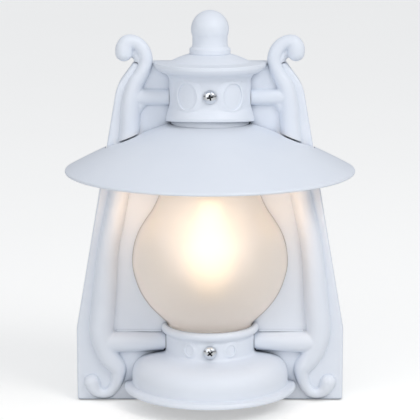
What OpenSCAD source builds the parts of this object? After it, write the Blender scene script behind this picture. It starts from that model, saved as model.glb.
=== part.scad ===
// Outdoor wall light: a pressed wall plate with scroll arms, a half-round hood and base, a wide
// conical shade and a frosted half glass round one small-cap lamp. Millimetres, +Z up.
// The origin is midway between the two wall-screw holes, on the wall. The room side is -Y.

/* [Wall plate] */
// Distance between the two wall-screw holes
wall_screw_pitch = 220; // [180:1:240]
// Radius of a wall-screw hole
wall_hole_r = 2.75; // [2:0.05:4]
// Depth of the plate from the wall to its face
plate_d = 20; // [12:0.5:30]
// Sheet thickness of the plate
plate_wall = 2; // [1:0.1:4]
// Half width of the plate at its widest
plate_half_w = 101.3; // [80:0.1:120]
// Height at which the sides stop widening
plate_corner_z = -84.5; // [-110:0.5:-40]
// Lower edge of the plate
plate_bottom_z = -140.7; // [-160:0.1:-120]
// Upper edge of the plate
plate_top_z = 117.5; // [100:0.1:130]
// Half width of the plate's upper edge
plate_top_half_w = 56.6; // [40:0.1:80]
// Half width where the shoulder line and the side line cross
plate_shoulder_half_w = 69.3; // [50:0.1:90]
// Height where the shoulder line and the side line cross
plate_shoulder_z = 100.3; // [80:0.1:110]

/* [Hood] */
// Distance from the plate's face to the axis of the hood, shade, glass and base
axis_out = 2; // [1:0.5:30]
// Sheet thickness of the hood and base
shell_wall = 1.6; // [1:0.1:3]
// Outer radius of the collar's waist
collar_r = 30.2; // [25:0.1:36]
// Outer radius of the collar's flared lower edge
collar_flare_r = 32.9; // [28:0.1:40]
// Height of the collar's lower edge at its sides
collar_z = 74.6; // [70:0.1:90]
// Rise of the collar's lower edge for each mm towards the front
collar_tilt = 0.111; // [0:0.001:0.3]
// Outer radius of the cap's rim
cap_r = 41.2; // [34:0.1:50]
// Underside of the cap's rim
cap_z = 116.2; // [110:0.1:125]
// Height of the upper fixing screw
upper_screw_z = 96.3; // [90:0.1:110]
// Radius of the finial's ball
finial_r = 14; // [8:0.1:18]
// Top of the finial
finial_top_z = 156.9; // [140:0.1:170]

/* [Shade] */
// Radius of the shade at its rim
shade_r = 108; // [80:0.1:120]
// Height of the shade's rim
shade_rim_z = 38.9; // [30:0.1:50]
// Outer radius of the shade's neck
shade_neck_r = 29; // [24:0.1:31]
// Height where the cone leaves the neck
shade_neck_z = 73.4; // [70:0.1:80]
// Top of the shade's crown
shade_crown_z = 79.3; // [78:0.1:84]
// Sheet thickness of the shade
shade_wall = 1.2; // [0.8:0.1:2]
// Downward slope of the cone just outside the neck
shade_slope = 0.326; // [0.2:0.001:0.6]

/* [Glass] */
// Wall thickness of the glass
glass_wall = 3; // [2:0.1:5]

/* [Base] */
// Outer radius of the gallery ring
gallery_r = 36.6; // [33:0.1:42]
// Radius of the base's neck
neck_r = 33.4; // [28:0.1:38]
// Radius of the base's rounded body
base_r = 59; // [50:0.1:70]
// Radius of the base's lip
base_lip_r = 65; // [55:0.1:75]
// Underside of the base's lip
base_bottom_z = -129.2; // [-138:0.1:-110]
// Height of the lower fixing screw
lower_screw_z = -93.9; // [-98:0.1:-85]

/* [Lamp] */
// Distance from the plate's face to the lamp's axis
lamp_out = 18.2; // [18:0.5:40]
// Greatest radius of the candle lamp's glass
bulb_r = 17; // [15:0.1:18]
// Length of the lamp's glass below its cap
bulb_l = 74; // [60:1:80]

/* [Fixings] */
// Shank radius of the two front screws
screw_r = 2.5; // [2:0.05:3]
// Head radius of the two front screws
screw_head_r = 5; // [4:0.1:7]
// Head height of the two front screws
screw_head_h = 3.6; // [2:0.1:5]
// Radial clearance between a shank and its bore
running_gap = 0.08; // [0.02:0.01:0.2]

/* [Hidden] */
face_y = -plate_d;
axis_y = face_y - axis_out;
lamp_y = face_y - lamp_out;
wall_z = wall_screw_pitch / 2;
dome_top_z = cap_z + 8.45;
gap = 0.3;
white = [0.87, 0.89, 0.93];
steel = [0.78, 0.79, 0.8];
brass = [0.8, 0.65, 0.3];
$fn = 96;

// Points of an arc about c, from angle a0 to a1
function arc(c, r, a0, a1, n = 8) =
    [for (i = [0:n]) c + r * [cos(a0 + (a1 - a0) * i / n), sin(a0 + (a1 - a0) * i / n)]];

// The corner b of a path a-b-c, rounded to radius r
function unit(v) = v / norm(v);
function rounded(a, b, c, r, n = 6) =
    let(u = unit(a - b), w = unit(c - b), half = acos(u * w) / 2)
    let(o = b + unit(u + w) * r / sin(half), t0 = b + u * r / tan(half), t1 = b + w * r / tan(half))
    let(a0 = atan2(t0[1] - o[1], t0[0] - o[0]), d = atan2(t1[1] - o[1], t1[0] - o[0]) - a0)
    arc(o, r, a0, a0 + (d > 180 ? d - 360 : d < -180 ? d + 360 : d), n);

// Right half of the plate's outline, drawn in by inset
function plate_half(inset) =
    let(bottom = [plate_half_w - inset, plate_bottom_z + inset])
    let(side = [plate_half_w - inset, plate_corner_z])
    let(shoulder = [plate_shoulder_half_w - inset, plate_shoulder_z - 0.25 * inset])
    let(top = [plate_top_half_w - 0.6 * inset, plate_top_z - inset])
    concat(
        rounded([0, bottom[1]], bottom, side, 2.5, 4),
        rounded(bottom, side, shoulder, 26),
        rounded(side, shoulder, top, 28),
        rounded(shoulder, top, [0, top[1]], 2, 3)
    );
function mirrored(p) = [for (i = [len(p) - 1:-1:0]) [-p[i][0], p[i][1]]];
function plate_outline(inset) = concat(plate_half(inset), mirrored(plate_half(inset)));

// A flat shape of the XZ plane, given depth from y0 back to y1
module slab(y0, y1) {
    translate([0, y1, 0]) rotate([90, 0, 0]) linear_extrude(y1 - y0) children();
}

// A half-round shell of a profile given as radius and height: a half turn at the front,
// and straight sides that run back from the axis to y1
module half_round(y1) {
    translate([0, axis_y, 0]) rotate([0, 0, 180]) rotate_extrude(angle = 180) children();
    slab(axis_y, y1) children();
    slab(axis_y, y1) mirror([1, 0]) children();
}

// A turned piece on a vertical axis
module turned(y, points) {
    translate([0, y, 0]) rotate_extrude() polygon(points);
}

// A tapered rod with ball ends between two points
module rod(a, b, ra, rb) {
    d = norm(b - a);
    s = (ra - rb) / d;
    dir = (b - a) / d;
    translate(a) rotate([0, acos(dir[2]), atan2(dir[1], dir[0])]) rotate([0, 0, 37]) translate([0, 0, ra * s])
        cylinder(h = d - ra * s + rb * s, r1 = ra * sqrt(1 - s * s), r2 = rb * sqrt(1 - s * s));
}
module ball(p, r) {
    translate(p) rotate([0, 0, 50]) sphere(r);
}

// A round lead through a list of points
module lead(points, r) {
    for (i = [0:len(points) - 2]) rod(points[i], points[i + 1], r, r);
    for (i = [1:len(points) - 2]) ball(points[i], r * 1.08, $fn = 32);
}

// A raised ring round a point on a half-round shell of radius r, at angle a from the front
module raised_ring(r, a, z, ring_r, bead) {
    translate([0, axis_y, z]) rotate([0, 0, a]) translate([0, -r, 0]) rotate([90, 0, 0])
        rotate_extrude() translate([ring_r, 0]) circle(bead);
}

// A cross-recess pan-head screw whose head sits on y, pointing back into the light
module pan_screw(z, y, shank_l) {
    head = concat([[0, 0], [screw_head_r, 0]], arc([screw_head_r - 1.8, screw_head_h - 2.4], 1.8, 0, 60, 5),
        [[screw_head_r - 3.2, screw_head_h - 0.15], [0, screw_head_h]]);
    difference() {
        translate([0, y, z]) rotate([90, 0, 0]) union() {
            rotate_extrude() polygon(head);
            translate([0, 0, -shank_l]) cylinder(h = shank_l + 0.5, r = screw_r);
            translate([0, 0, -shank_l - 0.8]) cylinder(h = 0.8, r1 = screw_r - 0.8, r2 = screw_r);
        }
        for (a = [0, 90]) translate([0, y - screw_head_h, z]) rotate([0, a, 0])
            cube([5.6, 4.2, 1.1], center = true);
    }
}

// Plate: a tray open to the wall, with tubes for the wall screws
module wall_plate() color(white) difference() {
    union() {
        difference() {
            union() {
                slab(face_y + 1, 0) polygon(plate_outline(0));
                slab(face_y, face_y + 1) polygon(plate_outline(0.7));
            }
            slab(face_y + plate_wall, 1) polygon(plate_outline(plate_wall));
        }
        for (z = [wall_z, -wall_z]) translate([0, 0, z]) rotate([90, 0, 0]) cylinder(h = plate_d - 1, r = 6);
        for (side = [-1, 1]) translate([side * 54, face_y - 0.4, -85.9]) cube([34, 1, 1.4], center = true);
    }
    for (z = [wall_z, -wall_z]) translate([0, 1, z]) rotate([90, 0, 0])
        cylinder(h = plate_d + 2, r = wall_hole_r);
    for (z = [upper_screw_z, lower_screw_z]) translate([0, 1, z]) rotate([90, 0, 0])
        cylinder(h = plate_d + 2, r = 3.05);
    for (x = [-14, 14]) translate([x, 1, 87]) rotate([90, 0, 0]) cylinder(h = plate_d + 2, r = 2.05);
    translate([16, 1, 106]) rotate([90, 0, 0]) cylinder(h = plate_d + 2, r = 4.05);
    translate([-30, 1, 20]) rotate([90, 0, 0]) cylinder(h = plate_d + 2, r = 2.05);
}

// Centre line of the right-hand crook, arm and curl in the XZ plane, with the radius at each point
arm = [
    [63.6, 125.2, 6.6], [63.3, 129, 6.6], [60.7, 132.4, 6], [56.3, 133.3, 5.3], [51.5, 130.4, 5.1],
    [48.2, 125.2, 5.1], [47.3, 118.6, 5.1], [50.2, 110.2, 5.4], [55.6, 101, 6.3], [58.4, 88, 7.2],
    [60.3, 63, 7.5], [68.6, 17, 7.8], [76.8, -24, 8.1], [80.3, -62.5, 9.2], [82.4, -86, 9.2],
    [78.4, -103, 8.2], [70.9, -114.3, 7], [70.1, -121, 5.6], [72.2, -128.6, 4.6], [75.8, -133.6, 4.1],
    [80.4, -135.5, 3.9], [85.3, -134.2, 4.6], [88.4, -130.8, 5.5], [90.1, -126.3, 6.1]
];
function at_face(p) = [p[0], face_y, p[1]];

// Scroll casting: half-round on the plate, and free-standing where the crook passes its top
module scroll(side) color(white) mirror([side < 0 ? 1 : 0, 0, 0]) {
    intersection() {
        union() {
            for (i = [0:len(arm) - 2]) rod(at_face(arm[i]), at_face(arm[i + 1]), arm[i][2], arm[i + 1][2]);
            for (i = [0:len(arm) - 1]) ball(at_face(arm[i]), arm[i][2] * 1.015);
            rod([62.2, face_y + 1.2, 124.3], [51.2, face_y + 1.2, 122.8], 4.7, 4.2);
            rod([30.6, face_y, 92.3], [58, face_y, 92.3], 6, 6.2);
            rod([50, face_y, 90], [57, face_y, 79.5], 4.2, 4.2);
            rod([34.4, face_y, -94.2], [79, face_y, -94.8], 7, 8.4);
        }
        union() {
            translate([20, face_y - 12, -150]) cube([90, 12, 300]);
            translate([20, face_y - 12, plate_top_z + 0.6]) cube([90, 30, 40]);
        }
    }
}

// Hood: cap and collar in one half-round pressing
hood_out = concat(
    [[collar_flare_r, 70], [collar_flare_r, 76.4]],
    arc([collar_r + 12, 88], 12, 202, 180, 4),
    arc([collar_r + 7, 104.6], 7, 180, 94, 6),
    [[38.4, 112.6], [40, 114.4], [cap_r, cap_z + 0.2], [cap_r, cap_z + 2], [cap_r - 0.6, cap_z + 2.5],
     [31, cap_z + 2.7], [29, cap_z + 3.1]],
    arc([0, 64.4], 62.2, 63.8, 75.6, 5),
    [[0, dome_top_z]]
);
hood_in = concat(
    [[0, dome_top_z - shell_wall]],
    arc([0, 64.4], 62.2 - shell_wall, 75.4, 65, 5),
    [[cap_r - 2.6, cap_z + 0.9], [cap_r - 3.2, 114.6], [collar_r + 6.8, 113.2]],
    arc([collar_r + 7, 104.6], 8.6, 96, 180, 6),
    arc([collar_r + 12, 88], 12 + shell_wall, 180, 200, 4),
    [[collar_flare_r - shell_wall, 76], [collar_flare_r - shell_wall, 70]]
);
module hood() color(white) difference() {
    union() {
        half_round(face_y - gap) polygon(concat(hood_out, hood_in));
        for (a = [-34, 34]) raised_ring(collar_r - 0.7, a, 95.7, 8.4, 1.6);
    }
    translate([0, axis_y, collar_z]) rotate([-atan(collar_tilt), 0, 0])
        translate([-60, -60, -30]) cube([120, 120, 30]);
    translate([0, axis_y - 20, upper_screw_z]) rotate([90, 0, 0]) cylinder(h = 20, r = 2.8);
    translate([0, axis_y, 110]) cylinder(h = 30, r = 3.2);
}

// Finial: turned ball, neck and foot on a stud
ball_z = finial_top_z - finial_r;
module finial() color(white) union() {
    turned(axis_y, concat(
        [[0, dome_top_z], [14.7, dome_top_z], [15.2, dome_top_z + 0.6], [15.2, dome_top_z + 3.6],
         [14.7, dome_top_z + 4.5], [13.6, dome_top_z + 5.3], [13.1, dome_top_z + 7],
         [13.05, dome_top_z + 9]],
        arc([0, ball_z], finial_r, -21, 90, 14)
    ));
    translate([0, axis_y, dome_top_z - 6.9]) cylinder(h = 7.4, r = 3);
}
module finial_nut() color(steel) difference() {
    union() {
        translate([0, axis_y, dome_top_z - 6.6]) cylinder(h = 3.8, r = 5.8, $fn = 6);
        translate([0, axis_y, dome_top_z - 2.9]) cylinder(h = 1.25, r = 8);
    }
    translate([0, axis_y, 110]) cylinder(h = 20, r = 3.05);
}

// Shade: the cone steepens evenly from the neck to the rim
shade_steps = 12;
shade_run = shade_r - shade_neck_r;
shade_bend = (shade_neck_z - shade_rim_z - shade_slope * shade_run) / pow(shade_run, 2);
function shade_z(r) =
    shade_neck_z - shade_slope * (r - shade_neck_r) - shade_bend * pow(r - shade_neck_r, 2);
function shade_at(i) =
    let(r = shade_neck_r + (shade_lip[0] - shade_neck_r) * i / shade_steps) [r, shade_z(r)];
lip_bead = 1.3;
lip_lean = 90 - atan(shade_slope + 2 * shade_bend * shade_run);
lip_r = shade_r - lip_bead * (1 - cos(lip_lean));
shade_lip = [lip_r, shade_z(lip_r)];
module shade() color(white) difference() {
    translate([0, axis_y, 0]) rotate_extrude() {
        polygon(concat(
            [[5.2, shade_crown_z], [shade_neck_r - 1, shade_crown_z], [shade_neck_r, shade_crown_z - 1]],
            [for (i = [0:shade_steps]) shade_at(i)],
            arc(shade_lip - lip_bead * [cos(lip_lean), sin(lip_lean)], lip_bead, lip_lean - 20, -190, 10),
            [for (i = [shade_steps - 0.5:-1:1]) shade_at(i) - [0.35, shade_wall]],
            [[shade_neck_r - shade_wall, shade_neck_z - shade_wall],
             [shade_neck_r - shade_wall, shade_crown_z - shade_wall], [5.2, shade_crown_z - shade_wall]]
        ));
    }
    slab(face_y - gap, 1) polygon(plate_outline(-0.8));
    translate([-150, -1.5, 0]) cube([300, 100, 120]);
    translate([0, lamp_y, 70]) cylinder(h = 20, r = 5.2);
    for (side = [-1, 1]) rod([side * 58.5, face_y, 73], [side * 68.6, face_y, 17], 9.2, 9.6);
}

// Glass: pear-shaped half bowl with a collar that stands in the gallery
glass_out = [
    [34.6, 42], [34.8, 33], [35.6, 27], [36.8, 22], [38.6, 17], [41.9, 9.7], [48, 0.4], [53.4, -8.4],
    [57, -18], [58.5, -27.1], [58.6, -34.5], [57.1, -42], [54.3, -50.6], [50.2, -58.2], [45.1, -65.4],
    [38.9, -72], [34.9, -75.6], [32.5, -78.2], [31.4, -81], [31.2, -86]
];
module globe() color([0.95, 0.92, 0.86]) half_round(face_y - 1)
    polygon(concat(glass_out, [for (i = [len(glass_out) - 1:-1:0]) glass_out[i] - [glass_wall, 0]]));
module globe_seal() color([0.5, 0.5, 0.5]) half_round(face_y - 1)
    polygon([[27.2, -87.9], [31.5, -87.9], [31.5, -86], [27.2, -86]]);

// Base: gallery ring, neck, rounded body and lip in one half-round pressing
base_out = concat(
    [[26.6, -89.5], [26.6, -87.9], [31.8, -87.9], [31.8, -80.4], [32.4, -79.3]],
    arc([gallery_r - 3.3, -82.5], 3.3, 94, -52, 9),
    [[neck_r + 0.3, -86.2], [neck_r - 0.3, -87.4], [neck_r - 0.3, -88.6], [neck_r, -89.4], [neck_r, -100],
     [neck_r + 0.8, -101.4], [39, -101.9], [45.6, -103.2]],
    arc([base_r - 15.5, -118.9], 15.5, 77, 0, 8),
    [[base_r, -124], [base_r + 1, -125], [base_lip_r - 1.6, -125.3], [base_lip_r - 0.4, -126],
     [base_lip_r, -127], [base_lip_r, -128.3], [base_lip_r - 1, base_bottom_z]]
);
base_in = concat(
    [[base_r - 1.6, base_bottom_z], [base_r - 1.6, -118.9]],
    arc([base_r - 15.5, -118.9], 13.9, 0, 76, 8),
    [[39, -103.5], [neck_r - 1.6, -103.1], [neck_r - 1.6, -89.5]]
);
module base_shell() color(white) difference() {
    union() {
        half_round(face_y - gap) polygon(concat(base_out, base_in));
        for (a = [-27.6, 27.6]) raised_ring(neck_r - 0.3, a, -93.4, 4.1, 1.2);
    }
    translate([0, axis_y - 20, lower_screw_z]) rotate([90, 0, 0]) cylinder(h = 20, r = 2.8);
}

upper_seat_y = axis_y - collar_r;
lower_seat_y = axis_y - neck_r;
module upper_screw() color(steel) pan_screw(upper_screw_z, upper_seat_y - 0.05, 14);
module lower_screw() color(steel) pan_screw(lower_screw_z, lower_seat_y - 0.05, 14);

// Pillar: a hexagonal post, tapped at the front and riveted in the plate
module pillar(z, front_y) color(steel) difference() {
    union() {
        translate([0, face_y, z]) rotate([90, 0, 0]) cylinder(h = face_y - front_y, r = 5, $fn = 6);
        translate([0, face_y + plate_wall + 1.2, z]) rotate([90, 0, 0]) cylinder(h = plate_wall + 1.7, r = 3);
        translate([0, face_y + plate_wall + 1.2, z]) rotate([90, 0, 0]) cylinder(h = 1.2, r = 4.4);
    }
    translate([0, front_y + 18, z]) rotate([90, 0, 0]) cylinder(h = 20, r = screw_r + running_gap);
}
module pillar_upper() pillar(upper_screw_z, upper_seat_y + shell_wall + 3 * gap);
module pillar_lower() pillar(lower_screw_z, lower_seat_y + shell_wall + 3 * gap);

// Bracket: a folded strap, screwed to the plate, that carries the nipple
module lamp_bracket() color(steel) difference() {
    union() {
        translate([-19, face_y - 1.5, shade_crown_z]) cube([38, 1.5, 12.4]);
        translate([-19, face_y - 29, shade_crown_z]) cube([38, 29, 1.5]);
        for (x = [-19, 17.5]) translate([x, 0, 0]) rotate([90, 0, 90]) linear_extrude(1.5)
            polygon([[face_y - 1, shade_crown_z + 1], [face_y - 13, shade_crown_z + 1],
                [face_y - 1, shade_crown_z + 9]]);
    }
    for (x = [-14, 14]) translate([x, face_y + 1, 87]) rotate([90, 0, 0]) cylinder(h = 4, r = 2.1);
    translate([0, lamp_y, 70]) cylinder(h = 20, r = 5.1);
    for (side = [-1, 1]) translate([side * 19, face_y - 29, 80]) rotate([0, 0, 45])
        cube([17, 17, 10], center = true);
}
module bracket_screws() color(steel) for (x = [-14, 14]) translate([x, face_y - 1.5, 87]) rotate([90, 0, 0])
    difference() {
        union() {
            cylinder(h = 2.4, r1 = 3.5, r2 = 2.8);
            translate([0, 0, -8]) cylinder(h = 8.2, r = 2);
        }
        for (a = [0, 90]) rotate([0, 0, a]) translate([0, 0, 2.4]) cube([3.8, 0.8, 2.4], center = true);
    }

// Lampholder, hung from a hollow nipple through the shade's crown and the bracket.
// Its heights are measured from its top at 80, and all of it moves to the underside of the crown.
module hung() {
    translate([0, 0, shade_crown_z - shade_wall - 80]) children();
}
module nipple() color(brass) hung() difference() {
    translate([0, lamp_y, 71.5]) cylinder(h = 16.8, r = 5);
    translate([0, lamp_y, 71]) cylinder(h = 18, r = 3.9);
}
module nipple_nut() color(brass) difference() {
    translate([0, lamp_y, shade_crown_z + 1.5]) cylinder(h = 3.6, r = 8, $fn = 6);
    translate([0, lamp_y, shade_crown_z]) cylinder(h = 6, r = 5.05);
}
module lampholder_body() color([0.93, 0.93, 0.9]) hung() turned(lamp_y, concat(
    [[10.6, 24], [12.2, 24], [12.5, 24.4], [12.5, 64]],
    arc([7, 64], 5.5, 0, 75, 5),
    [[8, 72], [8, 80], [5.05, 80], [5.05, 71.4], [7.4, 70.2], [10.7, 65], [10.7, 58], [9.9, 57],
     [9.9, 50.2], [10.6, 49.4]]
));
module lampholder_core() color([0.85, 0.83, 0.78]) hung() difference() {
    turned(lamp_y, [[1.65, 50.2], [9.8, 50.2], [9.8, 57], [10.6, 58], [10.6, 60], [1.65, 60]]);
    for (x = [-6, 6]) translate([x, lamp_y, 55]) cylinder(h = 8, r = 1.3);
}
module lampholder_shell() color(brass) hung()
    turned(lamp_y, concat(
        [for (i = [0:12]) [8.1 + 0.35 * (i % 2), 26 + i * 1.7]],
        [[8.1, 49.2], [9.8, 49.2], [9.8, 50.2], [7.4, 50.2]],
        [for (i = [12:-1:0]) [7.4 + 0.35 * (i % 2), 26 + i * 1.7]]
    ));
module lampholder_contact() color(brass) hung() union() {
    translate([0, lamp_y, 46.6]) cylinder(h = 0.6, r = 3);
    translate([0, lamp_y, 47]) cylinder(h = 3.2, r = 2.4);
    translate([0, lamp_y, 50]) cylinder(h = 11.2, r = 1.6);
    translate([0, lamp_y, 60]) cylinder(h = 1.2, r = 2.6);
}
module lampholder_screws() color(brass) hung() for (x = [-6, 6]) translate([x, lamp_y, 55.2]) union() {
    cylinder(h = 8.8, r = 1.25);
    translate([0, 0, 4.8]) cylinder(h = 1, r = 3);
    translate([0, 0, 8.6]) cylinder(h = 1.6, r = 2.4);
}

// Lamp: candle glass, small screw cap, and the centre contact in its insulator
function candle_r(t) = bulb_r * pow(sin(180 * pow(t, 0.72)), 0.62);
module bulb_glass() color([0.98, 0.96, 0.9]) hung() turned(lamp_y, concat(
    [[0, 20.5 - bulb_l]],
    [for (t = [0.015, 0.04, 0.08, 0.13, 0.2, 0.28, 0.37, 0.46, 0.55, 0.64, 0.73, 0.82, 0.9])
        [max(candle_r(t), t < 0.5 ? 0 : 8), 20.5 - bulb_l * (1 - t)]],
    [[8, 20.5], [0, 20.5]]
));
module bulb_cap() color(steel) hung() turned(lamp_y, concat(
    [[0, 20.5], [8.2, 20.5], [8.2, 22.4]],
    [for (i = [0:10]) [6.55 + 0.35 * (i % 2), 23 + i * 1.7]],
    [[6.3, 41.2], [4.6, 43.2], [0, 43.2]]
));
module bulb_contact() color([0.15, 0.15, 0.17]) hung()
    turned(lamp_y, [[0, 43.2], [4.5, 43.2], [3.2, 45.2], [2.4, 45.4], [1.6, 46.5], [0, 46.6]]);

// Wiring in the tray
module wire_grommet() color([0.2, 0.2, 0.2]) translate([16, 0, 106]) rotate([90, 0, 0]) rotate_extrude()
    polygon([[2.9, 16.2], [5.6, 16.2], [5.6, 17.9], [4, 17.9], [4, 20.1], [5.6, 20.1], [5.6, 21.6],
        [2.9, 21.6]]);
block_z = 46;
module terminal_block() color([0.92, 0.92, 0.9]) difference() {
    union() {
        translate([-15, face_y + plate_wall, block_z - 8]) cube([30, 5, 16]);
        for (x = [-10, 0, 10]) translate([x - 3.6, face_y + plate_wall, block_z - 8]) cube([7.2, 10.5, 16]);
    }
    for (x = [-10, 0, 10]) {
        translate([x, face_y + plate_wall + 5.5, block_z - 9]) cylinder(h = 18, r = 2.7);
        for (z = [-4.5, 4.5]) translate([x, 0, block_z + z]) rotate([90, 0, 0])
            cylinder(h = plate_d - plate_wall - 5, r = 2.05);
    }
}
module terminal_clamps() color(brass) for (x = [-10, 0, 10]) difference() {
    translate([x, face_y + plate_wall + 5.5, block_z - 7]) cylinder(h = 14, r = 2.6);
    translate([x, face_y + plate_wall + 5.5, block_z - 8]) cylinder(h = 16, r = 1.7);
    for (z = [-4.5, 4.5]) translate([x, 0, block_z + z]) rotate([90, 0, 0])
        cylinder(h = plate_d - plate_wall - 6, r = 1.35);
}
module terminal_screws() color(steel) for (x = [-10, 0, 10], z = [-4.5, 4.5])
    translate([x, face_y + plate_wall + 6.9, block_z + z]) rotate([-90, 0, 0]) difference() {
        union() {
            cylinder(h = 2.2, r = 1.3);
            translate([0, 0, 1.6]) cylinder(h = 1.7, r = 1.9);
        }
        translate([0, 0, 3.3]) cube([4, 0.5, 1.4], center = true);
    }
module earth_screw() color(brass) translate([-30, face_y + plate_wall, 20]) rotate([-90, 0, 0]) difference() {
    union() {
        cylinder(h = 1, r = 4.2);
        translate([0, 0, 3.1]) cylinder(h = 2.4, r = 3.5);
        translate([0, 0, -1.9]) cylinder(h = 5.2, r = 2);
    }
    translate([0, 0, 5.6]) cube([8, 0.9, 1.6], center = true);
}

// Leads: from the block, through the grommet, over the bracket and down the nipple
wire_r = 1.05;
module wire_live() color([0.5, 0.3, 0.15]) lead([
    [10, face_y + 7.5, 49], [10, face_y + 7.5, 63], [19, face_y + 8.1, 81], [20, face_y + 8.2, 96],
    [17.2, face_y + 5.2, 106.2], [17.2, face_y - 5.6, 106.2], [16, lamp_y + 1.2, 100],
    [10.5, lamp_y - 3.8, 93.5], [4.6, lamp_y - 3.3, 89.6], [-1.4, lamp_y - 1, 86.4], [-1.4, lamp_y - 1, 71],
    [-1.5, lamp_y - 2.3, 60.7], [-8, lamp_y - 2.4, 60.2]
], wire_r);
module wire_neutral() color([0.2, 0.35, 0.6]) lead([
    [0, face_y + 7.5, 49], [0, face_y + 7.5, 64], [8, face_y + 8.1, 83], [8.6, face_y + 8.2, 98],
    [14.8, face_y + 5.2, 106], [14.8, face_y - 6, 106], [12.6, lamp_y + 6, 98],
    [8.2, lamp_y + 2.4, 91], [1.5, lamp_y + 0.9, 87.6], [1.5, lamp_y + 0.9, 70],
    [1.5, lamp_y + 2.4, 60.6], [8, lamp_y + 2.4, 60.2]
], wire_r);
module wire_earth() color([0.35, 0.6, 0.2]) lead([
    [-10, face_y + 7.5, 43], [-10.6, face_y + 7.3, 35], [-17, face_y + 6, 25.5], [-27.4, face_y + 4.05, 21.5]
], wire_r);

// Gasket: a foam strip inside the plate's rim, against the wall
module wall_gasket() color([0.25, 0.25, 0.25]) slab(-4, 0) difference() {
    polygon(plate_outline(plate_wall));
    polygon(plate_outline(plate_wall + 5));
    translate([0, wall_z]) circle(6.3);
}

wall_plate();
scroll(-1);  // scroll_left
scroll(1);  // scroll_right
hood();
finial();
finial_nut();
shade();
globe();
globe_seal();
base_shell();
upper_screw();
lower_screw();
pillar_upper();
pillar_lower();
lamp_bracket();
bracket_screws();
nipple();
nipple_nut();
lampholder_body();
lampholder_core();
lampholder_shell();
lampholder_contact();
lampholder_screws();
bulb_glass();
bulb_cap();
bulb_contact();
wire_grommet();
terminal_block();
terminal_clamps();
terminal_screws();
earth_screw();
wire_live();
wire_neutral();
wire_earth();
wall_gasket();
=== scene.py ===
import math
import bpy
import bmesh
from mathutils import Matrix, Vector, noise


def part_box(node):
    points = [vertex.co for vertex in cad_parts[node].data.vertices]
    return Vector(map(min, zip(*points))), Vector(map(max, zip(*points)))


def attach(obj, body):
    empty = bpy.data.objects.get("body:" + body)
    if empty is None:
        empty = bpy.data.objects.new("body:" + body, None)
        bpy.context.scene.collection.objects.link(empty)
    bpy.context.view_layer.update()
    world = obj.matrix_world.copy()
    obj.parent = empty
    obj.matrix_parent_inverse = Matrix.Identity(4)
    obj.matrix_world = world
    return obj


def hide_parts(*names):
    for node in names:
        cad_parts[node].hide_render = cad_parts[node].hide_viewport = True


# Outdoor wall light. Sizes below are in millimetres and turn into metres when a mesh is made.
# The wall is y = 0 and the room side is -y. Heights count from midway between the wall screws.

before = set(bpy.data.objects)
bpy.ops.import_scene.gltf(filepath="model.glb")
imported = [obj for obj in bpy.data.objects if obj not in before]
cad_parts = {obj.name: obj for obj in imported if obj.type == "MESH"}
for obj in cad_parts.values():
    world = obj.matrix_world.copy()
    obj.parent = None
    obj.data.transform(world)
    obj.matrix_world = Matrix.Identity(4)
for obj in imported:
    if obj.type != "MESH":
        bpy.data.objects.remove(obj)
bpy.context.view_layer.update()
mm = 0.001
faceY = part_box("lamp_bracket")[1][1] / mm  # front of the wall plate
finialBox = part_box("finial")
axisY = (finialBox[0][1] + finialBox[1][1]) / 2 / mm  # axis of hood, shade, glass and base
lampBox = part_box("bulb_glass")
lampY = (lampBox[0][1] + lampBox[1][1]) / 2 / mm
print("frame loaded, axis", round(axisY, 2), "lamp", round(lampY, 2))


# ---- tools

def toLinear(hexColour):
    channels = [int(hexColour[i:i + 2], 16) / 255 for i in (0, 2, 4)]
    return tuple(c / 12.92 if c <= 0.04045 else ((c + 0.055) / 1.055) ** 2.4 for c in channels) + (1.0,)


def addNode(tree, kind, inputs=None, **settings):
    node = tree.nodes.new(kind)
    for name, value in settings.items():
        setattr(node, name, value)
    for key, value in (inputs or {}).items():
        if isinstance(value, bpy.types.NodeSocket):
            tree.links.new(value, node.inputs[key])
        else:
            node.inputs[key].default_value = value
    return node


def startTree(name, sockets):
    tree = bpy.data.node_groups.new(name, "GeometryNodeTree")
    kinds = {"geometry": "NodeSocketGeometry", "number": "NodeSocketFloat", "count": "NodeSocketInt", "material": "NodeSocketMaterial"}
    for socketName, kind in sockets.items():
        tree.interface.new_socket(socketName, in_out="INPUT", socket_type=kinds[kind])
    tree.interface.new_socket("Geometry", in_out="OUTPUT", socket_type="NodeSocketGeometry")
    return tree, addNode(tree, "NodeGroupInput").outputs


def endTree(tree, geometry, finish):
    painted = addNode(tree, "GeometryNodeSetMaterial", {"Geometry": geometry, "Material": finish})
    real = addNode(tree, "GeometryNodeRealizeInstances", {"Geometry": painted.outputs[0]})
    addNode(tree, "NodeGroupOutput", {0: real.outputs[0]})


def bakeTree(piece, tree, values):
    step = piece.modifiers.new(tree.name, "NODES")
    step.node_group = tree
    identifiers = {s.name: s.identifier for s in tree.interface.items_tree if s.in_out == "INPUT"}
    for name, value in values.items():
        step[identifiers[name]] = value
    bakeModifiers(piece)


def bakeModifiers(piece):
    graph = bpy.context.evaluated_depsgraph_get()
    graph.update()
    made = bpy.data.meshes.new_from_object(piece.evaluated_get(graph), depsgraph=graph)
    piece.modifiers.clear()
    piece.data = made


def newObject(name, vertices, edges, faces, finish=None):
    mesh = bpy.data.meshes.new(name)
    mesh.from_pydata(vertices, edges, faces)
    piece = bpy.data.objects.new(name, mesh)
    bpy.context.scene.collection.objects.link(piece)
    if finish:
        mesh.materials.append(finish)
    return piece


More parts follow.
